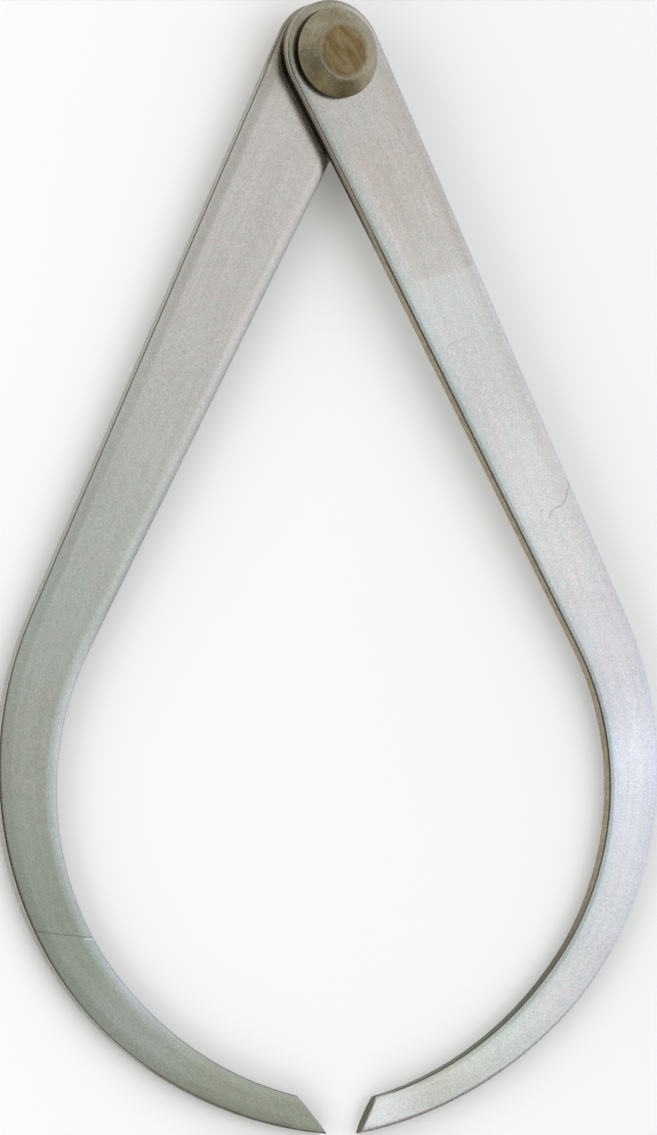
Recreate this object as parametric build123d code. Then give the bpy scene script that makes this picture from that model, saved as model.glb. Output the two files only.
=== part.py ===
from build123d import *
import os
from math import acos, asin, atan, atan2, cos, degrees, hypot, radians, sin, sqrt, tan

# Outside caliper of 200 mm with a firm riveted joint, lying on its back.
# The pivot axis is Z, the legs hang towards -Y, and Z = 0 is the flat end of the rear rivet head.
# The legs stand in the pose of the photograph, one on each side of the YZ plane.

# Leg outline, drawn for the leg on the +X side
REACH = 200.0              # pivot axis to where the outer edge would cross the middle
HEAD_RADIUS = 10.1         # round end about the pivot
BOW_OUT = 7.4              # how far the bow's centre lies off the middle
BOW_RADIUS = 62.6          # outer edge of the bow
BOW_WIDTH = 11.25          # leg across the bow, radius less radius
BOW_TAPER = 3.6            # inner centre below the outer one, which narrows the leg towards the tip
TIP_OUTER_RADIUS = 86.0    # flatter end of the outer edge
TIP_OUTER_START = 51.8     # degrees below level where it starts
TIP_INNER_RADIUS = 70.5    # flatter end of the inner edge
TIP_INNER_START = 39.8     # degrees below level where it starts
FRONT_TIP_OFF = 2.1        # front leg's point to the middle
FRONT_TIP_CUT = 28.9       # slant of its end face, degrees from the middle line
REAR_TIP_OFF = 4.9         # rear leg's point to the middle
REAR_TIP_CUT = 40.0        # slant of its end face
TIP_SPARE = 8.0            # blank's length past the middle, which is cut off

# Leg plate
LEG_THICKNESS = 2.5
ROLL_WIDTH = 1.5           # shallow rounded-over edge round one face of the blank, across the face
ROLL_DEPTH = 0.3           # and down the wall
BREAK_WIDTH = 0.7          # narrower bevel round the other face
BREAK_DEPTH = 0.25
KNEE = 27.0                # pivot to the slight bend that brings both points into one plane
KNEE_RADIUS = 600.0

# Joint stack
FIT = 0.03                 # radial clearance of the rivet in every bore
FRICTION_WASHER_THICKNESS = 0.3
FRICTION_WASHER_RADIUS = 8.4
WASHER_RADIUS = 8.4
WASHER_RIM = 1.35          # straight rim of the outer washers
WASHER_CONE = 1.9          # height of their bevel above the rim
WASHER_SEAT_MARGIN = 0.15  # flat ring left round the rivet head
WASHER_RIM_BREAK = 0.12
RIVET_RADIUS = 3.0
RIVET_HEAD_RADIUS = 5.5
RIVET_HEAD_HEIGHT = 0.5
RIVET_BEVEL_WIDTH = 1.3    # shallow bevel of the heads, across them
RIVET_BEVEL_DEPTH = 0.35

# Heights of the stack, from the rear head's flat end upwards
rear_washer_z = RIVET_HEAD_HEIGHT
washer_height = WASHER_RIM + WASHER_CONE
rear_leg_z = rear_washer_z + washer_height
friction_washer_z = rear_leg_z + LEG_THICKNESS
front_leg_z = friction_washer_z + FRICTION_WASHER_THICKNESS
front_washer_z = front_leg_z + LEG_THICKNESS
front_head_z = front_washer_z + washer_height
stack_height = front_head_z + RIVET_HEAD_HEIGHT


def on_circle(centre, radius, angle):
    """Point of a circle in the leg's plane, angle in degrees from +X."""
    return Vector(centre.X + radius * cos(radians(angle)), centre.Y + radius * sin(radians(angle)))


def arc(centre, radius, start, end):
    """Arc of a circle from one angle to another, in degrees."""
    return ThreePointArc(
        on_circle(centre, radius, start),
        on_circle(centre, radius, (start + end) / 2),
        on_circle(centre, radius, end),
    )


def circle_at_x(centre, radius, x):
    """Angle in degrees at which the lower half of a circle passes a given X."""
    return -degrees(acos((x - centre.X) / radius))


def tangent_angle(centre, radius, head_side):
    """Angle of the normal to the straight edge that touches the head and the bow.

    head_side is 1 where the edge touches the head's outer side and -1 on its inner side.
    """
    distance = hypot(centre.X, centre.Y)
    lean = atan2(centre.X, -centre.Y)
    return degrees(lean + asin((radius - head_side * HEAD_RADIUS) / distance))


def flatter(centre, radius, start, tip_radius):
    """Centre of the flatter arc that carries on from a bow arc at the angle start."""
    return on_circle(centre, radius - tip_radius, -start)


# The bow hangs at the height that gives the reach
bow_below = flatter(Vector(BOW_OUT, 0), BOW_RADIUS, TIP_OUTER_START, TIP_OUTER_RADIUS)
bow_depth = sqrt(TIP_OUTER_RADIUS ** 2 - bow_below.X ** 2) - bow_below.Y
outer_centre = Vector(BOW_OUT, bow_depth - REACH)
inner_centre = outer_centre - Vector(0, BOW_TAPER)
inner_radius = BOW_RADIUS - BOW_WIDTH
outer_tip_centre = flatter(outer_centre, BOW_RADIUS, TIP_OUTER_START, TIP_OUTER_RADIUS)
inner_tip_centre = flatter(inner_centre, inner_radius, TIP_INNER_START, TIP_INNER_RADIUS)
outer_tangent = tangent_angle(outer_centre, BOW_RADIUS, 1)
inner_tangent = tangent_angle(inner_centre, inner_radius, -1)
arm_lean = (outer_tangent + inner_tangent) / 2


def tip_point(tip_off):
    """Point of a leg that ends so far from the middle."""
    angle = circle_at_x(outer_tip_centre, TIP_OUTER_RADIUS, tip_off)
    return on_circle(outer_tip_centre, TIP_OUTER_RADIUS, angle)


def blank_outline():
    """Flat outline of the blank, from the round head down the arm and round the bow.

    It runs on past the middle, because the tips are cut after the edges are bevelled.
    """
    pivot = Vector(0, 0)
    outer_end = circle_at_x(outer_tip_centre, TIP_OUTER_RADIUS, -TIP_SPARE)
    inner_end = circle_at_x(inner_tip_centre, TIP_INNER_RADIUS, -TIP_SPARE)
    edges = [
        arc(pivot, HEAD_RADIUS, inner_tangent + 180, outer_tangent),
        Line(
            on_circle(pivot, HEAD_RADIUS, outer_tangent),
            on_circle(outer_centre, BOW_RADIUS, outer_tangent),
        ),
        arc(outer_centre, BOW_RADIUS, outer_tangent, -TIP_OUTER_START),
        arc(outer_tip_centre, TIP_OUTER_RADIUS, -TIP_OUTER_START, outer_end),
        Line(
            on_circle(outer_tip_centre, TIP_OUTER_RADIUS, outer_end),
            on_circle(inner_tip_centre, TIP_INNER_RADIUS, inner_end),
        ),
        arc(inner_tip_centre, TIP_INNER_RADIUS, inner_end, -TIP_INNER_START),
        arc(inner_centre, inner_radius, -TIP_INNER_START, inner_tangent),
        Line(
            on_circle(inner_centre, inner_radius, inner_tangent),
            on_circle(pivot, HEAD_RADIUS, inner_tangent + 180),
        ),
    ]
    return make_face(Curve() + edges)


def leg_slab():
    """Plate that the outline is cut from: level at the joint, then sloping down to the middle plane.

    It is drawn from the side, along the arm, about the leg's own middle plane.
    """
    tip_along = REACH * cos(radians(arm_lean))
    set_back = (LEG_THICKNESS + FRICTION_WASHER_THICKNESS) / 2
    slope = atan(set_back / (tip_along - KNEE))
    half = LEG_THICKNESS / 2
    bend_start = KNEE - KNEE_RADIUS * tan(slope / 2)
    centre = Vector(bend_start, -KNEE_RADIUS)
    bend_end = 90 - degrees(slope)
    down = Vector(cos(slope), -sin(slope)) * REACH * 1.5
    back = -HEAD_RADIUS * 2
    upper, lower = KNEE_RADIUS + half, KNEE_RADIUS - half
    profile = make_face(Curve() + [
        Line((back, half), on_circle(centre, upper, 90)),
        arc(centre, upper, 90, bend_end),
        Line(on_circle(centre, upper, bend_end), on_circle(centre, upper, bend_end) + down),
        Line(on_circle(centre, upper, bend_end) + down, on_circle(centre, lower, bend_end) + down),
        Line(on_circle(centre, lower, bend_end) + down, on_circle(centre, lower, bend_end)),
        arc(centre, lower, bend_end, 90),
        Line(on_circle(centre, lower, 90), (back, -half)),
        Line((back, -half), (back, half)),
    ])
    lean = radians(arm_lean)
    side = Plane(origin=(0, 0, 0), x_dir=(sin(lean), -cos(lean), 0), z_dir=(-cos(lean), -sin(lean), 0))
    return extrude(side * profile, amount=REACH, both=True)


def bevel(plate, side, width, depth):
    """Bevel right round one face of the plate, the upper one where side is 1 and the lower where -1.

    The bevel starts on the arm's flat and runs on smoothly over the bend and round the head.
    """
    flats = [face for face in plate.faces() if face.normal_at().Z * side > 0.99]
    arm = max(flats, key=lambda face: face.area)
    walls = [face for face in plate.faces() if abs(face.normal_at().Z) < 0.1]
    wall_edges = [edge for wall in walls for edge in wall.edges()]
    rims = [edge for edge in arm.edges() if edge in wall_edges]
    return chamfer(rims, width, min(depth, LEG_THICKNESS * 0.4), reference=arm)


def tip_waste(tip_off, tip_cut):
    """What is cut off a blank to leave its point and slanting end face."""
    size = (tip_off + TIP_SPARE) * 4
    waste = Box(size, size, LEG_THICKNESS * 4, align=(Align.MAX, Align.CENTER, Align.CENTER))
    return Pos(tip_point(tip_off)) * Rot(0, 0, -tip_cut) * waste


def leg(tip_off, tip_cut):
    """One leg on the +X side, about its own middle plane: a bevelled blank, bored and cut to a point."""
    plate = extrude(blank_outline(), amount=LEG_THICKNESS * 2, both=True) & leg_slab()
    rolled = bevel(plate, -1, ROLL_WIDTH, ROLL_DEPTH)
    bevelled = bevel(rolled, 1, BREAK_WIDTH, BREAK_DEPTH)
    bored = bevelled - Cylinder(RIVET_RADIUS + FIT, LEG_THICKNESS * 2)
    return bored - tip_waste(tip_off, tip_cut)


def front_leg():
    return Pos(0, 0, front_leg_z + LEG_THICKNESS / 2) * leg(FRONT_TIP_OFF, FRONT_TIP_CUT)


def rear_leg():
    """The same blank turned over: its bend comes up to the front leg's, and the rolled edges face up."""
    turned = Rot(0, 180, 0) * leg(REAR_TIP_OFF, REAR_TIP_CUT)
    return Pos(0, 0, rear_leg_z + LEG_THICKNESS / 2) * turned


def turned_ring(points):
    """Body of revolution about the pivot from its half section, given as radius and height."""
    return revolve(Plane.XZ * make_face(Polyline(*points, close=True)), Axis.Z)


def outer_washer():
    """Bevelled washer that stands on a leg, its base at zero height."""
    bore = RIVET_RADIUS + FIT
    seat = RIVET_HEAD_RADIUS + WASHER_SEAT_MARGIN
    return turned_ring([
        (bore, 0),
        (WASHER_RADIUS, 0),
        (WASHER_RADIUS, WASHER_RIM - WASHER_RIM_BREAK),
        (WASHER_RADIUS - WASHER_RIM_BREAK, WASHER_RIM),
        (seat, washer_height),
        (bore, washer_height),
    ])


def front_washer():
    return Pos(0, 0, front_washer_z) * outer_washer()


def rear_washer():
    return Pos(0, 0, rear_leg_z) * Rot(180, 0, 0) * outer_washer()


def friction_washer():
    """Thin flat washer between the two legs."""
    bore = RIVET_RADIUS + FIT
    top = friction_washer_z + FRICTION_WASHER_THICKNESS
    return turned_ring([
        (bore, friction_washer_z),
        (FRICTION_WASHER_RADIUS, friction_washer_z),
        (FRICTION_WASHER_RADIUS, top),
        (bore, top),
    ])


def rivet():
    """Shank with a flat bevelled head at each end."""
    flat = RIVET_HEAD_RADIUS - RIVET_BEVEL_WIDTH
    bevel_depth = min(RIVET_BEVEL_DEPTH, RIVET_HEAD_HEIGHT * 0.8)
    return turned_ring([
        (0, 0),
        (flat, 0),
        (RIVET_HEAD_RADIUS, bevel_depth),
        (RIVET_HEAD_RADIUS, rear_washer_z),
        (RIVET_RADIUS, rear_washer_z),
        (RIVET_RADIUS, front_head_z),
        (RIVET_HEAD_RADIUS, front_head_z),
        (RIVET_HEAD_RADIUS, stack_height - bevel_depth),
        (flat, stack_height),
        (0, stack_height),
    ])


PARTS = {
    "rear_leg": rear_leg,
    "front_leg": front_leg,
    "rivet": rivet,
    "rear_washer": rear_washer,
    "friction_washer": friction_washer,
    "front_washer": front_washer,
}

os.makedirs("parts", exist_ok=True)
for name, make in PARTS.items():
    export_step(make(), f"parts/{name}.step")
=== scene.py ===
from math import atan2, cos, radians, sin

import bmesh
import bpy
from mathutils import Matrix, Vector


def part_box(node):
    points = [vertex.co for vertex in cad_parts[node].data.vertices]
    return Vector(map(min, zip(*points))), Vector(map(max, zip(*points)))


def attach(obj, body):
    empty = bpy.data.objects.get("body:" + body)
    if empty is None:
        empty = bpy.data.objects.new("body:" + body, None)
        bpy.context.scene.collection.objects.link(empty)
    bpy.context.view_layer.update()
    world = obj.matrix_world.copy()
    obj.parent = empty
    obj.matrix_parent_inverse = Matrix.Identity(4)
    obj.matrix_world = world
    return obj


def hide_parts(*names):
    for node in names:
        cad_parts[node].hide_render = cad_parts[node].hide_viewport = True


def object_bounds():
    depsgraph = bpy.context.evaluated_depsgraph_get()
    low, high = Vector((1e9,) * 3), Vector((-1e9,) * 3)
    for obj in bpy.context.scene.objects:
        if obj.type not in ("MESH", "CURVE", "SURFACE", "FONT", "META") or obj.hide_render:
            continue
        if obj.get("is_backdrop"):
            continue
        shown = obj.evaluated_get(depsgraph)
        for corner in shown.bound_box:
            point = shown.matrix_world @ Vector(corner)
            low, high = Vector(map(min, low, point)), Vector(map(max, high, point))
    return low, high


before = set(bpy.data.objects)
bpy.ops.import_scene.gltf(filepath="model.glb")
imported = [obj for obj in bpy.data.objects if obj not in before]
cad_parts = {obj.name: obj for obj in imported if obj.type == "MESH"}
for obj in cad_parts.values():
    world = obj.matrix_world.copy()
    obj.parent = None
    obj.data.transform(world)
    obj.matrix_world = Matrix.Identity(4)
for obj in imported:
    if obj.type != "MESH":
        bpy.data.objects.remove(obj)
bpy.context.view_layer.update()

MM = 0.001


def rgb(red, green, blue):
    """Opaque colour in linear values."""
    return (red, green, blue, 1.0)


# The picture, in its own pixels
IMAGE_WIDTH = 657
IMAGE_HEIGHT = 1135
PIVOT_PIXEL = (329.9, 55.1)

# The view: a long lens from the left of the face, a little below its middle
VIEW_LEFT = radians(29.93)
VIEW_LOW = radians(2.90)
PICTURE_TURN = radians(1.21)
PIXEL_SIZE = 0.1848 * MM
VIEW_DISTANCE = 743 * MM
FACE_HEIGHT = 7.1 * MM
SENSOR = 36.0
CLIP_START = 0.05
CLIP_END = 20

# Lines of a leg, as in the part: the bow's centre and radius, and the arm's lean
OUTER_LINE = (Vector((7.4, -132.68, 0)) * MM, 62.6 * MM, radians(26.5))
INNER_LINE = (Vector((7.4, -136.28, 0)) * MM, 51.35 * MM, radians(29.9))

# How far a facet of a leg faces along the pivot axis: the face itself, the wide bevel of the
# rolled edge and the narrow bevel lie above these, and a wall below the last
FLAT = 0.99
ROLL_FACING = 0.96
STEEP = 0.5

# Rounding of a leg: the ridges between a face and its two kinds of bevel, and the edges beside
# a wall, each with its number of steps. The zone of the points, given by half its width and its
# upper end, goes without the widest kind.
ROLL_RIDGE = 1.0 * MM
ROLL_STEPS = 5
BREAK_RIDGE = 0.45 * MM
BREAK_STEPS = 4
EDGE_WIDTH = 0.22 * MM
EDGE_STEPS = 3
POINT_ZONE = (13 * MM, -188 * MM)

# Mesh of a leg: points this close are joined and facets this nearly level are merged before the
# rounding, and an edge stays sharp in shading where its faces turn by more than the last angle
SAME_PLACE = 0.001 * MM
SAME_PLANE = radians(0.05)
SHARP_ANGLE = radians(32)

# Level of the joint's middle plane, and the distances from it over which the painted shade on the washers'
# rims and the legs' walls fades out
MID_PLANE = 6.4 * MM
RIM_DARK = (3.35 * MM, 3.75 * MM)
WALL_CLEAR = (1.0 * MM, 1.7 * MM)

# Parts of a noise's range
NARROW = (0.35, 0.65)
MIDDLE = (0.3, 0.7)
WIDE = (0.25, 0.75)
WIDEST = (0.2, 0.8)

# Noises are given by size, detail and, where it isn't the usual one, roughness, and streaks by
# width and length

# Grain of all the metal: the fine grain, which lightens less than it darkens, and the patches of
# shade and of hue
GRAIN = (0.34 * MM, 2.0, 0.7)
GRAIN_LIGHTENING = 0.8
SHADE_PATCH = (1.7 * MM, 3.0, 0.6)
PATCH_SHADE = (0.975, 1.025)
HUE_PATCH = (2.6 * MM, 3.0, 0.7)
HUE_OFFSET = (0.3, 0.1, 0.2)
WARM_HUE = rgb(1.025, 0.985, 0.98)
COOL_HUE = rgb(0.98, 1.01, 1.0)

# Steel of the legs: its patterns and their depths, roughness, strength of the grain and how far
# the edges are softened in shading
LEG_STREAK = (1.5 * MM, 55 * MM)
LEG_SPECKLE = (0.4 * MM, 2.0, 0.7)
LEG_CLOUD = (18 * MM, 3.0)
LEG_SHADE = (0.97, 1.03)
LEG_SPECKLE_DEPTH = 0.016 * MM
LEG_STREAK_DEPTH = 0.012 * MM
LEG_ROUGHNESS = (0.24, 0.32)
LEG_GRAIN = 0.2
LEG_SOFT_EDGE = 0.15 * MM

# Metal of the joint, in the same way, turned in rings or dressed in lines, with the boss's tone
# at its edge and the painted shade on the washers' lower side
RING = (0.22 * MM, 2.0)
RING_SHADE = (0.94, 1.06)
STAIN_PATCH = (2.6 * MM, 4.0, 0.65)
DRESSED_STAIN = (1.1 * MM, 6 * MM)
DRESSED_LINES = (0.3 * MM, 5 * MM)
JOINT_SPECKLE = (0.45 * MM, 2.0, 0.7)
JOINT_SPECKLE_DEPTH = 0.02 * MM
RING_DEPTH = 0.008 * MM
JOINT_ROUGHNESS = (0.40, 0.52)
JOINT_GRAIN = 0.3
JOINT_SOFT_EDGE = 0.25 * MM
RIM_FACING = (0.3, 0.65)
BOSS_EDGE = (4.1 * MM, 5.7 * MM, rgb(0.40, 0.36, 0.26))
LOW_SIDE = Vector((-0.15, -0.99, 0))
LOW_REACH = (2 * MM, 7 * MM)
LOW_PAINTED_SHADE = rgb(0.82, 0.77, 0.60)

# Grime on the upper left side of the heads: its side, how it comes in, its reach and patches
GRIME = rgb(0.62, 0.61, 0.50)
GRIME_SIDE = Vector((-0.72, 0.69, 0))
GRIME_RISE = 7 * MM
GRIME_REACH = (8 * MM, 17 * MM)
GRIME_PATCH = (4 * MM, 3.0)
GRIME_WAVER = 2 * MM

# Along a leg, from the bow's end up the arm: the tones' span, where the bow's tints give way
# to the arm's, where the inner wall's tone changes, and where the cut wall of the tip begins
ALONG_SPAN = (-135 * MM, 130 * MM)
BOW_TO_ARM = (-12 * MM, 10 * MM)
LOWER_WALL = (-85 * MM, -45 * MM)
TIP_WALL = (-94 * MM, -88 * MM)

# Walls and edges of the legs: depth from the outer line at which a wall counts as inner, reach of the painted
# shade by the joint round the head and down the arm, and how far a surface faces along the pivot axis where a
# wall's tone gives way to an edge's and an edge's to the face's, and where marks come in and the painted
# shade ends
INNER_DEPTH = (2 * MM, 3 * MM)
HEAD_REACH = (12 * MM, 20 * MM)
JOINT_REACH = (30 * MM, 42 * MM)
WALL_TURN = (0.05, 0.3)
FACE_TURN = (0.80, 0.92)
UPPER_TURN = (0.5, 0.9)
PAINTED_SHADE_DULLNESS = 0.85
WALL_PATCH = (1.4 * MM, 3.0, 0.7)
WALL_LIGHT = rgb(0.46, 0.39, 0.28)
WALL_DARK = rgb(0.33, 0.27, 0.19)
CUT_WALL = rgb(0.17, 0.155, 0.115)
OUTER_WALL = rgb(0.48, 0.47, 0.43)
# painted shadow: near black on the walls beside the legs' middle plane, standing in for the shade between the
# legs
PAINTED_GAP_SHADOW = rgb(0.07, 0.055, 0.035)
# painted shade: darker wall and edge tones round the head and by the joint
SHADED_HEAD_WALL = rgb(0.21, 0.18, 0.14)
SHADED_HEAD_EDGE = rgb(0.28, 0.245, 0.19)
# painted shade: dark line along the rounded edges, paler on the front leg's outer edge
PAINTED_EDGE_SHADE = rgb(0.13, 0.12, 0.10)
PALE_PAINTED_EDGE_SHADE = rgb(0.60, 0.59, 0.55)

# Tones along each leg: the steel's colour with painted light and shade, lighter and darker stretches where
# the legs catch more or less of the room's light
REAR_TONES_WITH_PAINTED_LIGHT = (
    (-104 * MM, rgb(0.335, 0.35, 0.275)),
    (-92 * MM, rgb(0.375, 0.395, 0.345)),
    (-80 * MM, rgb(0.39, 0.41, 0.365)),
    (-70 * MM, rgb(0.335, 0.365, 0.31)),
    (-50 * MM, rgb(0.335, 0.36, 0.305)),
    (-18 * MM, rgb(0.425, 0.435, 0.385)),
    (5 * MM, rgb(0.45, 0.475, 0.43)),
    (40 * MM, rgb(0.53, 0.525, 0.49)),
    (65 * MM, rgb(0.57, 0.54, 0.51)),
    (110 * MM, rgb(0.575, 0.53, 0.495)),
)
FRONT_TONES_WITH_PAINTED_LIGHT = (
    (-127 * MM, rgb(0.84, 0.84, 0.82)),
    (-117 * MM, rgb(0.65, 0.64, 0.57)),
    (-98 * MM, rgb(0.63, 0.66, 0.61)),
    (-85 * MM, rgb(0.66, 0.65, 0.63)),
    (-55 * MM, rgb(0.67, 0.67, 0.68)),
    (-28 * MM, rgb(0.78, 0.78, 0.83)),
    (-10 * MM, rgb(0.635, 0.62, 0.635)),
    (32 * MM, rgb(0.69, 0.67, 0.65)),
    (50 * MM, rgb(0.62, 0.61, 0.59)),
    (70 * MM, rgb(0.63, 0.63, 0.61)),
    (105 * MM, rgb(0.54, 0.505, 0.47)),
)

# Painted light and shade beside the outer and inner edges, where the rolled edges catch or lose the light:
# reach, tint on the bow and tint on the arm
REAR_OUTER_PAINTED_SHADE = (6 * MM, rgb(0.98, 0.99, 1.00), rgb(0.98, 0.99, 1.00))
# painted highlight on the rear leg's inner bow, painted shade on its inner arm
REAR_INNER_PAINTED_LIGHT = (1.8 * MM, rgb(1.28, 1.28, 1.42), rgb(0.72, 0.74, 0.66))
FRONT_OUTER_PAINTED_SHADE = (5 * MM, rgb(0.90, 0.90, 0.91), rgb(0.89, 0.88, 0.86))
FRONT_INNER_PAINTED_REFLECTION = (4 * MM, rgb(0.82, 0.90, 0.90), rgb(0.82, 0.90, 0.90))

# Lines of the marks on the legs, as points of the part's plan in millimetres
SCRATCH = (
    (-63.1, -160.0), (-60.9, -160.4), (-58.7, -160.7), (-55.9, -161.1), (-53.9, -161.4), (-51.7, -161.5),
)
SCRATCH_GLINT = ((-53.9, -161.72), (-51.8, -161.82))
REAR_STREAK = ((-23.2, -44.6), (-24.8, -49.8), (-26.3, -54.8))
REAR_SPOT = ((-40.3, -77.2), (-39.9, -78.6))
HAIRLINE = (
    (49.9, -77.7), (50.4, -79.8), (49.8, -80.6), (49.8, -81.4), (49.3, -82.6), (48.5, -83.5), (47.4, -83.8),
    (46.1, -84.7), (45.8, -85.8),
)
HAIRLINE_TICK = ((44.3, -84.2), (43.7, -84.9))
STAIN_LINE = ((9.0, -0.8), (10.6, -5.4), (12.4, -10.8), (13.7, -15.4))
FILM_SIDE = ((10.1, -30.0), (11.6, -32.7), (14.5, -38.2))
FILM_SCUFF = ((19.4, -26.4), (20.0, -28.6))
FILM_LINE = ((20.0, -28.6), (22.1, -30.9), (24.2, -35.6), (26.4, -39.1))
FILM_TICK = ((24.6, -36.9), (26.1, -38.8))
WIPE_END = ((23.8, -53.0), (26.5, -51.9), (29.4, -50.9))
WIPE_SHADE = ((23.9, -53.5), (26.6, -52.4), (29.4, -51.4))

# Marks: line, reach to each side and tint
REAR_MARKS = (
    (SCRATCH, 0.22 * MM, rgb(0.66, 0.66, 0.68)),
    (SCRATCH_GLINT, 0.20 * MM, rgb(1.6, 1.6, 1.6)),
    (REAR_STREAK, 0.7 * MM, rgb(0.95, 0.94, 0.94)),
    (REAR_SPOT, 1.4 * MM, rgb(0.93, 0.94, 0.92)),
)
FRONT_MARKS = (
    (HAIRLINE, 0.22 * MM, rgb(0.64, 0.65, 0.64)),
    (HAIRLINE_TICK, 0.22 * MM, rgb(0.68, 0.69, 0.68)),
    (STAIN_LINE, 0.5 * MM, rgb(0.95, 0.93, 0.84)),
    (FILM_SIDE, 0.6 * MM, rgb(1.05, 1.06, 1.07)),
    (FILM_SCUFF, 0.5 * MM, rgb(1.10, 1.15, 1.18)),
    (FILM_LINE, 0.3 * MM, rgb(1.06, 1.09, 1.11)),
    (FILM_TICK, 0.5 * MM, rgb(1.06, 1.09, 1.12)),
    (WIPE_END, 0.4 * MM, rgb(1.05, 1.05, 1.04)),
    (WIPE_SHADE, 0.5 * MM, rgb(0.94, 0.92, 0.91)),
)

# Film on the front leg: borders as start, end and softness, with the film on their left, its
# tint, and the noise by which the borders waver
FILM_BORDERS = (
    ((10.1, -30.0), (16.2, -41.7), 0.5 * MM),
    ((16.2, -41.7), (26.4, -39.1), 0.5 * MM),
    ((30.0, -18.0), (0.0, -18.0), 12 * MM),
)
FRONT_FILMS = ((FILM_BORDERS, rgb(0.95, 0.91, 0.88)),)
FILM_PATCH = (1.6 * MM, 3.0)
FILM_WAVER = 0.4 * MM

# Metals of the joint: light, dark and rim tones, the rim tone being painted shade where a rim comes near the
# legs, and the direction of the rivet's dressing
WASHER_TONES = (rgb(0.44, 0.39, 0.285), rgb(0.34, 0.29, 0.20), rgb(0.03, 0.025, 0.02))
RIVET_TONES = (rgb(0.29, 0.215, 0.11), rgb(0.20, 0.135, 0.05), rgb(0.10, 0.08, 0.05))
BRASS_TONES = (rgb(0.62, 0.48, 0.24), rgb(0.50, 0.38, 0.18), rgb(0.40, 0.30, 0.15))
RIVET_DRESSING = radians(-50)

# The room that lights the part and that the metal mirrors: tones by the angle from straight
# above the face, negative to the left, then dark places by direction, reach and tone
ROOM_SPAN = (radians(-90), radians(90))
ROOM_TONES = (
    (radians(-80), rgb(0.80, 0.80, 0.78)),
    (radians(-45), rgb(0.68, 0.67, 0.64)),
    (radians(-14), rgb(0.72, 0.75, 0.74)),
    (radians(3), rgb(0.94, 0.96, 0.94)),
    (radians(11), rgb(0.84, 0.86, 0.84)),
    (radians(20), rgb(0.54, 0.56, 0.52)),
    (radians(37), rgb(1.28, 1.31, 1.35)),
    (radians(50), rgb(1.02, 1.08, 1.32)),
    (radians(70), rgb(0.96, 1.00, 1.08)),
    (radians(88), rgb(1.20, 1.30, 1.34)),
)
DARK_PLACES = (
    ((-0.42, -0.18, 0.88), radians(34), rgb(0.10, 0.07, 0.04)),
    ((0.50, -0.74, 0.38), radians(35), rgb(0.11, 0.09, 0.05)),
    ((0.50, 0.83, 0.26), radians(36), rgb(0.62, 0.60, 0.56)),
)

# Soft lights: name, direction from the part, distance, size and power
FILL_LIGHTS = (
    ("top_box", (0.0, 0.0, 1.0), 1.6, (2.0, 2.0), 3),
    ("back_box", (-0.2, 0.9, 0.35), 1.3, (1.4, 0.6), 6),
    ("near_box", (-0.2, -0.9, 0.35), 1.3, (1.4, 0.6), 6),
    ("left_box", (-0.95, 0.0, 0.35), 1.3, (1.4, 0.6), 7),
)

# The floor: half its width, and its paper
FLOOR_HALF = 1.6
PAPER_PATCH = (0.15, 3.0)
PAPER_DARK = rgb(0.90, 0.90, 0.90)
PAPER_LIGHT = rgb(0.93, 0.93, 0.93)
PAPER_ROUGHNESS = 0.9
PAPER_SPECULAR = 0.2


def plug(tree, socket, value):
    """Wires a socket to a node's input, or sets the input's own value."""
    if isinstance(value, bpy.types.NodeSocket):
        tree.links.new(value, socket)
    else:
        socket.default_value = value


def add(tree, kind, inputs=None, **settings):
    """Adds a node with its settings and inputs."""
    made = tree.nodes.new(kind)
    for name, value in settings.items():
        setattr(made, name, value)
    for name, value in (inputs or {}).items():
        plug(tree, made.inputs[name], value)
    return made


def maths(tree, operation, a, b=0.0):
    """Works out one number."""
    return add(tree, "ShaderNodeMath", {0: a, 1: b}, operation=operation).outputs[0]


def vector_maths(tree, operation, a, b=(0, 0, 0), output=0):
    """Works out a vector, or a number as output 1."""
    return add(tree, "ShaderNodeVectorMath", {0: a, 1: b}, operation=operation).outputs[output]


def dot(tree, a, b):
    """Product of two vectors as a number."""
    return vector_maths(tree, "DOT_PRODUCT", a, b, output=1)


def length(tree, vector):
    """Length of a vector."""
    return vector_maths(tree, "LENGTH", vector, output=1)


def scaled(tree, vector, factor):
    """Vector times a number."""
    made = add(tree, "ShaderNodeVectorMath", {0: vector, "Scale": factor}, operation="SCALE")
    return made.outputs[0]


def blend(tree, share, a, b):
    """Mixes two plain values."""
    return add(tree, "ShaderNodeMix", {0: share, 2: a, 3: b}).outputs[0]


def ramp(tree, value, low, high, to_low=0.0, to_high=1.0, shape="SMOOTHSTEP"):
    """Maps a value between two limits, smoothly unless told otherwise."""
    limits = {"Value": value, "From Min": low, "From Max": high, "To Min": to_low, "To Max": to_high}
    return add(tree, "ShaderNodeMapRange", limits, interpolation_type=shape).outputs["Result"]


def mix(tree, share, a, b, kind="MIX"):
    """Mixes two colours, by the mixing node's own colour sockets."""
    made = add(tree, "ShaderNodeMix", data_type="RGBA", blend_type=kind)
    plug(tree, made.inputs[0], share)
    plug(tree, made.inputs[6], a)
    plug(tree, made.inputs[7], b)
    return made.outputs[2]


def grey(tree, value):
    """Grey of one value, as a colour."""
    return add(tree, "ShaderNodeCombineColor", {0: value, 1: value, 2: value}).outputs[0]


def graded(tree, value, low, high, stops):
    """Colour that changes with a value: stops are (value, colour) pairs between the limits."""
    made = add(tree, "ShaderNodeValToRGB", {0: ramp(tree, value, low, high, shape="LINEAR")})
    elements = made.color_ramp.elements
    while len(elements) < len(stops):
        elements.new(0.5)
    for element, (place, colour) in zip(elements, stops):
        element.position = (place - low) / (high - low)
        element.color = colour
    return made.outputs[0]


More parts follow.
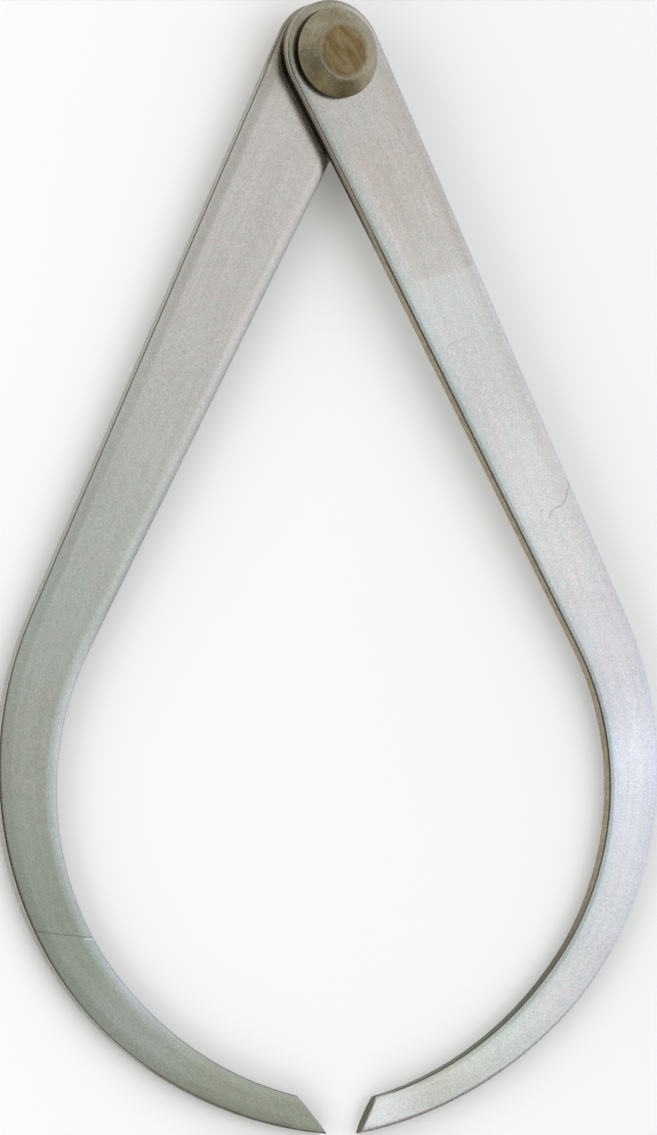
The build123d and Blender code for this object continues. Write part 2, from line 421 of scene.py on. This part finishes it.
def noise(tree, place, size, detail=2.0, roughness=0.5):
    """Noise whose features are about one size across, in metres."""
    inputs = {"Vector": place, "Scale": 1 / size, "Detail": detail, "Roughness": roughness}
    return add(tree, "ShaderNodeTexNoise", inputs).outputs["Fac"]


def new_material(name):
    """Material with one shader, its node tree and the shader."""
    material = bpy.data.materials.new(name)
    material.use_nodes = True
    tree = material.node_tree
    tree.nodes.clear()
    shader = tree.nodes.new("ShaderNodeBsdfPrincipled")
    output = tree.nodes.new("ShaderNodeOutputMaterial")
    tree.links.new(shader.outputs["BSDF"], output.inputs["Surface"])
    return material, tree, shader


def part_place(tree):
    """Place on the part, which stays with the metal when it moves."""
    return add(tree, "ShaderNodeTexCoord").outputs["Object"]


def flat_place(tree):
    """Place in the part's plan, measured from the pivot."""
    return vector_maths(tree, "MULTIPLY", part_place(tree), (1, 1, 0))


def facing(tree):
    """How far the surface faces along the pivot axis, from -1 to 1."""
    normal = add(tree, "ShaderNodeTexCoord").outputs["Normal"]
    return add(tree, "ShaderNodeSeparateXYZ", {0: normal}).outputs[2]


def from_mid_plane(tree, place):
    """Distance from the joint's middle plane."""
    level = add(tree, "ShaderNodeSeparateXYZ", {0: place}).outputs[2]
    return maths(tree, "ABSOLUTE", maths(tree, "SUBTRACT", level, MID_PLANE))


def from_line(tree, side, line):
    """Distance outward from a line of a leg, and place along it, from the bow's end up the arm."""
    centre, radius, lean = line
    centre = Vector((centre.x * side, centre.y, 0))
    normal = Vector((cos(lean) * side, sin(lean), 0))
    upward = Vector((-sin(lean) * side, cos(lean), 0))
    offset = vector_maths(tree, "SUBTRACT", flat_place(tree), centre)
    on_arm = dot(tree, offset, upward)
    beside = dot(tree, offset, normal)
    arm_share = maths(tree, "GREATER_THAN", on_arm, 0.0)
    reach = blend(tree, arm_share, length(tree, offset), beside)
    turn = maths(tree, "MULTIPLY", maths(tree, "ARCTAN2", on_arm, beside), radius)
    return maths(tree, "SUBTRACT", reach, radius), blend(tree, arm_share, turn, on_arm)


def streaks(tree, across, along, width, run):
    """Noise drawn out along one direction."""
    places = {0: across, 1: maths(tree, "MULTIPLY", along, width / run)}
    return noise(tree, add(tree, "ShaderNodeCombineXYZ", places).outputs[0], width)


def plan_point(point):
    """Point of the part's plan, given in millimetres."""
    return Vector((*point, 0)) * MM


def line_mark(tree, points, width):
    """1 on a thin line through points of the part's plan, fading to 0 at its sides."""
    place = flat_place(tree)
    mark = None
    for first, last in zip(points, points[1:]):
        start = plan_point(first)
        run = plan_point(last) - start
        offset = vector_maths(tree, "SUBTRACT", place, start)
        share = maths(tree, "DIVIDE", dot(tree, offset, run), run.length_squared)
        share = ramp(tree, share, 0.0, 1.0, shape="LINEAR")
        nearest = scaled(tree, run, share)
        distance = vector_maths(tree, "DISTANCE", offset, nearest, output=1)
        part = ramp(tree, distance, 0.0, width, 1.0, 0.0)
        mark = part if mark is None else maths(tree, "MAXIMUM", mark, part)
    return mark


def within(tree, borders, waver):
    """1 inside a patch of the part's plan: the patch is on the left of each border, which may waver."""
    place = flat_place(tree)
    share = None
    for first, last, softness in borders:
        start = plan_point(first)
        run = (plan_point(last) - start).normalized()
        offset = vector_maths(tree, "SUBTRACT", place, start)
        inward = dot(tree, offset, Vector((-run.y, run.x, 0)))
        inward = maths(tree, "ADD", inward, waver)
        part = ramp(tree, inward, -softness / 2, softness / 2)
        share = part if share is None else maths(tree, "MULTIPLY", share, part)
    return share


def satin(tree, shader, relief, roughness, edge):
    """Satin roughness and fine relief of worked metal: relief holds (height, depth) pairs."""
    plug(tree, shader.inputs["Roughness"], ramp(tree, relief[0][0], *WIDE, *roughness))
    normal = add(tree, "ShaderNodeBevel", {"Radius": edge}, samples=4).outputs[0]
    for height, depth in relief:
        inputs = {"Strength": 1.0, "Distance": depth, "Height": height, "Normal": normal}
        normal = add(tree, "ShaderNodeBump", inputs).outputs[0]
    plug(tree, shader.inputs["Normal"], normal)


def speckled(tree, place, colour, amount):
    """Colour broken up by fine grain and faint warm and green patches."""
    fine = noise(tree, place, *GRAIN)
    patch = noise(tree, place, *SHADE_PATCH)
    hue = noise(tree, vector_maths(tree, "ADD", place, HUE_OFFSET), *HUE_PATCH)
    shade = ramp(tree, fine, *WIDE, 1 - amount, 1 + GRAIN_LIGHTENING * amount, "LINEAR")
    shade = maths(tree, "MULTIPLY", shade, ramp(tree, patch, *MIDDLE, *PATCH_SHADE))
    tint = mix(tree, ramp(tree, hue, *NARROW), WARM_HUE, COOL_HUE)
    return mix(tree, 1.0, mix(tree, 1.0, colour, tint, "MULTIPLY"), grey(tree, shade), "MULTIPLY")


def with_grime(tree, place, face):
    """Face tone with grime on the upper left side of the head."""
    centred = flat_place(tree)
    above = ramp(tree, dot(tree, centred, GRIME_SIDE), 0.0, GRIME_RISE)
    patchy = ramp(tree, noise(tree, place, *GRIME_PATCH), *MIDDLE, -GRIME_WAVER, GRIME_WAVER)
    reach = maths(tree, "ADD", length(tree, centred), patchy)
    near = ramp(tree, reach, *GRIME_REACH, 1.0, 0.0)
    return mix(tree, maths(tree, "MULTIPLY", near, above), face, GRIME, "MULTIPLY")


def with_marks(tree, place, face, films, marks):
    """Face tone with the films and thin marks of the leg's front."""
    upper = ramp(tree, facing(tree), *UPPER_TURN)
    waver = ramp(tree, noise(tree, place, *FILM_PATCH), *WIDEST, -FILM_WAVER, FILM_WAVER)
    for borders, colour in films:
        share = maths(tree, "MULTIPLY", within(tree, borders, waver), upper)
        face = mix(tree, share, face, colour, "MULTIPLY")
    for points, width, colour in marks:
        share = maths(tree, "MULTIPLY", line_mark(tree, points, width), upper)
        face = mix(tree, share, face, colour, "MULTIPLY")
    return face


def wall_tones(tree, place, from_outer, along, outer_edge_shade):
    """Tones of a leg's walls and of the edges beside them, with painted shade by the joint, and the share of
    that painted shade.
    """
    brown = mix(tree, ramp(tree, noise(tree, place, *WALL_PATCH), *MIDDLE), WALL_DARK, WALL_LIGHT)
    brown = mix(tree, ramp(tree, along, *LOWER_WALL, 1.0, 0.0), brown, CUT_WALL)
    inner = ramp(tree, from_outer, *INNER_DEPTH)
    cut = ramp(tree, along, *TIP_WALL, 1.0, 0.0)
    wall = mix(tree, maths(tree, "MAXIMUM", inner, cut), OUTER_WALL, brown)

    centred = flat_place(tree)
    from_pivot = length(tree, centred)
    height = add(tree, "ShaderNodeSeparateXYZ", {0: centred}).outputs[1]
    clear = ramp(tree, from_mid_plane(tree, place), *WALL_CLEAR)
    by_head = ramp(tree, maths(tree, "SUBTRACT", from_pivot, height), *HEAD_REACH, 1.0, 0.0)
    by_joint = maths(tree, "MULTIPLY", inner, ramp(tree, from_pivot, *JOINT_REACH, 1.0, 0.0))
    by_joint = maths(tree, "MAXIMUM", by_head, by_joint)
    # painted shade: walls by the joint go dark, near black beside the legs' middle plane
    wall = mix(tree, by_joint, wall, mix(tree, clear, PAINTED_GAP_SHADOW, SHADED_HEAD_WALL))
    edge_shade = mix(tree, by_joint, mix(tree, inner, outer_edge_shade, PAINTED_EDGE_SHADE), SHADED_HEAD_EDGE)
    return wall, edge_shade, maths(tree, "MULTIPLY", by_joint, clear)


def leg_steel(name, side, stops, outer_painted_light, inner_painted_light, outer_edge_shade, films, marks):
    """Satin ground steel of a leg: grain, faint streaks along it, painted light and shade along it and beside
    its edges, grime by the joint, brown inner walls with painted shade by the joint.
    """
    material, tree, shader = new_material(name)
    place = part_place(tree)
    beyond, along = from_line(tree, side, OUTER_LINE)
    from_outer = maths(tree, "MULTIPLY", beyond, -1.0)
    from_inner, _ = from_line(tree, side, INNER_LINE)
    streak = streaks(tree, from_outer, along, *LEG_STREAK)
    speckle = noise(tree, place, *LEG_SPECKLE)
    cloud = noise(tree, place, *LEG_CLOUD)

    clouds = ramp(tree, cloud, *MIDDLE, *LEG_SHADE)
    shade = maths(tree, "MULTIPLY", clouds, ramp(tree, streak, *MIDDLE, *LEG_SHADE))
    # the face's tone along the leg holds painted light and shade
    face = mix(tree, 1.0, graded(tree, along, *ALONG_SPAN, stops), grey(tree, shade), "MULTIPLY")
    on_arm = ramp(tree, along, *BOW_TO_ARM)
    # painted light and shade beside the outer and inner edges
    for distance, (reach, bow_painted_light, arm_painted_light) in ((from_outer, outer_painted_light), (from_inner, inner_painted_light)):
        tint = mix(tree, on_arm, bow_painted_light, arm_painted_light)
        face = mix(tree, ramp(tree, distance, 0.0, reach, 1.0, 0.0), face, tint, "MULTIPLY")
    face = with_grime(tree, place, face)
    face = with_marks(tree, place, face, films, marks)

    wall, edge_shade, painted_shade_share = wall_tones(tree, place, from_outer, along, outer_edge_shade)
    turned = maths(tree, "ABSOLUTE", facing(tree))
    colour = mix(tree, ramp(tree, turned, *WALL_TURN), wall, edge_shade)
    colour = mix(tree, ramp(tree, turned, *FACE_TURN), colour, face)
    plug(tree, shader.inputs["Base Color"], speckled(tree, place, colour, LEG_GRAIN))
    # the painted shade by the joint, on walls and edges only, is also made less metallic
    painted_shade_share = maths(tree, "MULTIPLY", painted_shade_share, ramp(tree, turned, *UPPER_TURN, 1.0, 0.0))
    dull = maths(tree, "MULTIPLY", painted_shade_share, PAINTED_SHADE_DULLNESS)
    plug(tree, shader.inputs["Metallic"], maths(tree, "SUBTRACT", 1.0, dull))
    relief = ((speckle, LEG_SPECKLE_DEPTH), (streak, LEG_STREAK_DEPTH))
    satin(tree, shader, relief, LEG_ROUGHNESS, LEG_SOFT_EDGE)
    return material


def joint_metal(name, light, dark, wall, dressed=None):
    """Stained metal of the joint with a rim darkened by painted shade near the legs: turned in fine rings,
    with painted shade on the lower side, or dressed flat along a direction.
    """
    material, tree, shader = new_material(name)
    place = part_place(tree)
    radius = length(tree, flat_place(tree))
    speckle = noise(tree, place, *JOINT_SPECKLE)
    if dressed is None:
        rings = noise(tree, add(tree, "ShaderNodeCombineXYZ", {0: radius}).outputs[0], *RING)
        stain = noise(tree, place, *STAIN_PATCH)
        tone = mix(tree, ramp(tree, stain, *NARROW), dark, light)
        # painted shade on the lower side
        low = ramp(tree, dot(tree, place, LOW_SIDE), *LOW_REACH)
        tone = mix(tree, low, tone, LOW_PAINTED_SHADE, "MULTIPLY")
    else:
        along = Vector((cos(dressed), sin(dressed), 0))
        across = dot(tree, place, Vector((-along.y, along.x, 0)))
        run = dot(tree, place, along)
        rings = streaks(tree, across, run, *DRESSED_LINES)
        stain = streaks(tree, across, run, *DRESSED_STAIN)
        tone = mix(tree, ramp(tree, stain, *NARROW), dark, light)
        start, end, edge_tone = BOSS_EDGE
        tone = mix(tree, ramp(tree, radius, start, end), tone, edge_tone)
    tone = mix(tree, 1.0, tone, grey(tree, ramp(tree, rings, *MIDDLE, *RING_SHADE)), "MULTIPLY")
    # painted shade: the rim darkens near the legs' middle plane
    rim = ramp(tree, maths(tree, "ABSOLUTE", facing(tree)), *RIM_FACING, 1.0, 0.0)
    rim = maths(tree, "MULTIPLY", rim, ramp(tree, from_mid_plane(tree, place), *RIM_DARK, 1.0, 0.0))
    colour = mix(tree, rim, tone, wall)
    plug(tree, shader.inputs["Base Color"], speckled(tree, place, colour, JOINT_GRAIN))
    shader.inputs["Metallic"].default_value = 1.0
    relief = ((speckle, JOINT_SPECKLE_DEPTH), (rings, RING_DEPTH))
    satin(tree, shader, relief, JOINT_ROUGHNESS, JOINT_SOFT_EDGE)
    return material


def floor_material():
    """Pale matt paper."""
    material, tree, shader = new_material("floor_paper")
    fibre = noise(tree, part_place(tree), *PAPER_PATCH)
    plug(tree, shader.inputs["Base Color"], mix(tree, fibre, PAPER_DARK, PAPER_LIGHT))
    shader.inputs["Roughness"].default_value = PAPER_ROUGHNESS
    shader.inputs["Specular IOR Level"].default_value = PAPER_SPECULAR
    return material


def at_point(edge):
    """True for an edge near a leg's point, which is too narrow for wide rounding."""
    return any(abs(vert.co.x) < POINT_ZONE[0] and vert.co.y < POINT_ZONE[1] for vert in edge.verts)


def rounded(work, width, steps, chosen):
    """Rounds the edges that a test picks by how far their two faces face along the pivot axis."""
    edges = []
    for edge in work.edges:
        steeper, flatter = sorted(abs(face.normal.z) for face in edge.link_faces)
        if chosen(steeper, flatter) and (width < ROLL_RIDGE or not at_point(edge)):
            edges.append(edge)
    bmesh.ops.bevel(work, geom=edges, offset=width, segments=steps, profile=0.5, affect="EDGES")
    work.normal_update()


def by_roll(steeper, flatter):
    """True between a face and the wide bevel of its rolled edge."""
    return ROLL_FACING < steeper < FLAT < flatter


def by_break(steeper, flatter):
    """True between a face and its narrow bevel."""
    return STEEP < steeper < ROLL_FACING and FLAT < flatter


def by_wall(steeper, flatter):
    """True between a wall and what adjoins it in front or behind."""
    return steeper < STEEP < flatter


def finished(node, body, material):
    """A node's own form with its edges rounded, in its final material."""
    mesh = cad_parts[node].data.copy()
    work = bmesh.new()
    work.from_mesh(mesh)
    bmesh.ops.remove_doubles(work, verts=work.verts, dist=SAME_PLACE)
    bmesh.ops.dissolve_limit(work, angle_limit=SAME_PLANE, verts=work.verts, edges=work.edges)
    work.normal_update()
    rounded(work, ROLL_RIDGE, ROLL_STEPS, by_roll)
    rounded(work, BREAK_RIDGE, BREAK_STEPS, by_break)
    rounded(work, EDGE_WIDTH, EDGE_STEPS, by_wall)
    work.to_mesh(mesh)
    work.free()
    mesh.materials.clear()
    mesh.materials.append(material)
    mesh.shade_smooth()
    mesh.set_sharp_from_angle(angle=SHARP_ANGLE)
    piece = bpy.data.objects.new(node + "_finished", mesh)
    bpy.context.scene.collection.objects.link(piece)
    weights = piece.modifiers.new("even_shading", "WEIGHTED_NORMAL")
    weights.keep_sharp = True
    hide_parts(node)
    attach(piece, body)
    return piece


def dress(node, material):
    """Gives a node of the part its final material."""
    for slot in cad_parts[node].material_slots:
        slot.material = material


def make_floor():
    """Pale sheet that touches the rear rivet head and both points."""
    low_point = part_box("front_leg")[0]
    head_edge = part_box("rivet")[0]
    corners = [(-FLOOR_HALF, -FLOOR_HALF, 0), (FLOOR_HALF, -FLOOR_HALF, 0),
               (FLOOR_HALF, FLOOR_HALF, 0), (-FLOOR_HALF, FLOOR_HALF, 0)]
    mesh = bpy.data.meshes.new("floor")
    mesh.from_pydata(corners, [], [(0, 1, 2, 3)])
    mesh.materials.append(floor_material())
    floor = bpy.data.objects.new("floor", mesh)
    bpy.context.scene.collection.objects.link(floor)
    floor.location = (0, head_edge.y, head_edge.z)
    floor.rotation_euler = (-atan2(low_point.z - head_edge.z, head_edge.y - low_point.y), 0, 0)
    floor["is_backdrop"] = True


def fill_light(name, direction, distance, size, power):
    """Soft light on the floor and round the part, which leaves no glint on the metal."""
    data = bpy.data.lights.new(name, "AREA")
    data.shape = "RECTANGLE"
    data.size, data.size_y = size
    data.energy = power
    lamp = bpy.data.objects.new(name, data)
    lamp.visible_glossy = False
    bpy.context.scene.collection.objects.link(lamp)
    low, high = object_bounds()
    aim = Vector(direction).normalized()
    lamp.location = (low + high) / 2 + aim * distance
    lamp.rotation_mode = "QUATERNION"
    lamp.rotation_quaternion = (-aim).to_track_quat("-Z", "Y")


def make_camera():
    """Camera at the photograph's angle, worked out in the plane of the leg faces."""
    towards = Vector((-sin(VIEW_LEFT) * cos(VIEW_LOW), -sin(VIEW_LOW), cos(VIEW_LEFT) * cos(VIEW_LOW)))
    right = (-towards).cross(Vector((0, 1, 0))).normalized()
    up = right.cross(-towards)
    reach = VIEW_DISTANCE / PIXEL_SIZE
    across = PIVOT_PIXEL[0] - IMAGE_WIDTH / 2
    down = PIVOT_PIXEL[1] - IMAGE_HEIGHT / 2
    ray = right * across - up * down - towards * reach
    pivot = (towards * reach - ray * (towards.z * reach / ray.z)) * PIXEL_SIZE
    turn = Matrix.Rotation(-PICTURE_TURN, 3, "Z")
    location = Vector((0, 0, FACE_HEIGHT)) + turn @ (towards * VIEW_DISTANCE - pivot)
    data = bpy.data.cameras.new("camera")
    data.sensor_width = SENSOR
    data.lens = SENSOR * reach / IMAGE_HEIGHT
    data.clip_start = CLIP_START
    data.clip_end = CLIP_END
    camera = bpy.data.objects.new("camera", data)
    bpy.context.scene.collection.objects.link(camera)
    axes = Matrix((turn @ right, turn @ up, turn @ towards)).transposed()
    camera.matrix_world = Matrix.Translation(location) @ axes.to_4x4()
    bpy.context.scene.camera = camera


def make_world():
    """Plain room graded from left to right, with three darker places."""
    world = bpy.data.worlds.new("room")
    bpy.context.scene.world = world
    world.use_nodes = True
    tree = world.node_tree
    background = tree.nodes["Background"]
    direction = add(tree, "ShaderNodeTexCoord").outputs["Generated"]
    parts = add(tree, "ShaderNodeSeparateXYZ", {0: direction})
    side_angle = maths(tree, "ARCTAN2", parts.outputs[0], parts.outputs[2])
    tone = graded(tree, side_angle, *ROOM_SPAN, ROOM_TONES)
    for towards, reach, depth in DARK_PLACES:
        nearness = dot(tree, direction, Vector(towards).normalized())
        share = ramp(tree, nearness, cos(reach), cos(reach / 2))
        tone = mix(tree, share, tone, depth, "MULTIPLY")
    plug(tree, background.inputs["Color"], tone)
    background.inputs["Strength"].default_value = 1.0


make_camera()
make_world()
make_floor()
for light in FILL_LIGHTS:
    fill_light(*light)

rear_steel = leg_steel(
    "rear_leg_steel", -1, REAR_TONES_WITH_PAINTED_LIGHT, REAR_OUTER_PAINTED_SHADE, REAR_INNER_PAINTED_LIGHT, PAINTED_EDGE_SHADE, (), REAR_MARKS)
front_steel = leg_steel(
    "front_leg_steel", 1, FRONT_TONES_WITH_PAINTED_LIGHT, FRONT_OUTER_PAINTED_SHADE, FRONT_INNER_PAINTED_REFLECTION, PALE_PAINTED_EDGE_SHADE, FRONT_FILMS, FRONT_MARKS)
rear_leg = finished("rear_leg", "rear_half", rear_steel)
front_leg = finished("front_leg", "front_half", front_steel)
washer = joint_metal("washer_steel", *WASHER_TONES)
dress("front_washer", washer)
dress("rear_washer", washer)
rivet = joint_metal("rivet_steel", *RIVET_TONES, RIVET_DRESSING)
dress("rivet", rivet)
brass = joint_metal("friction_brass", *BRASS_TONES)
dress("friction_washer", brass)

bpy.context.scene.view_settings.view_transform = "Standard"
bpy.context.view_layer.update()
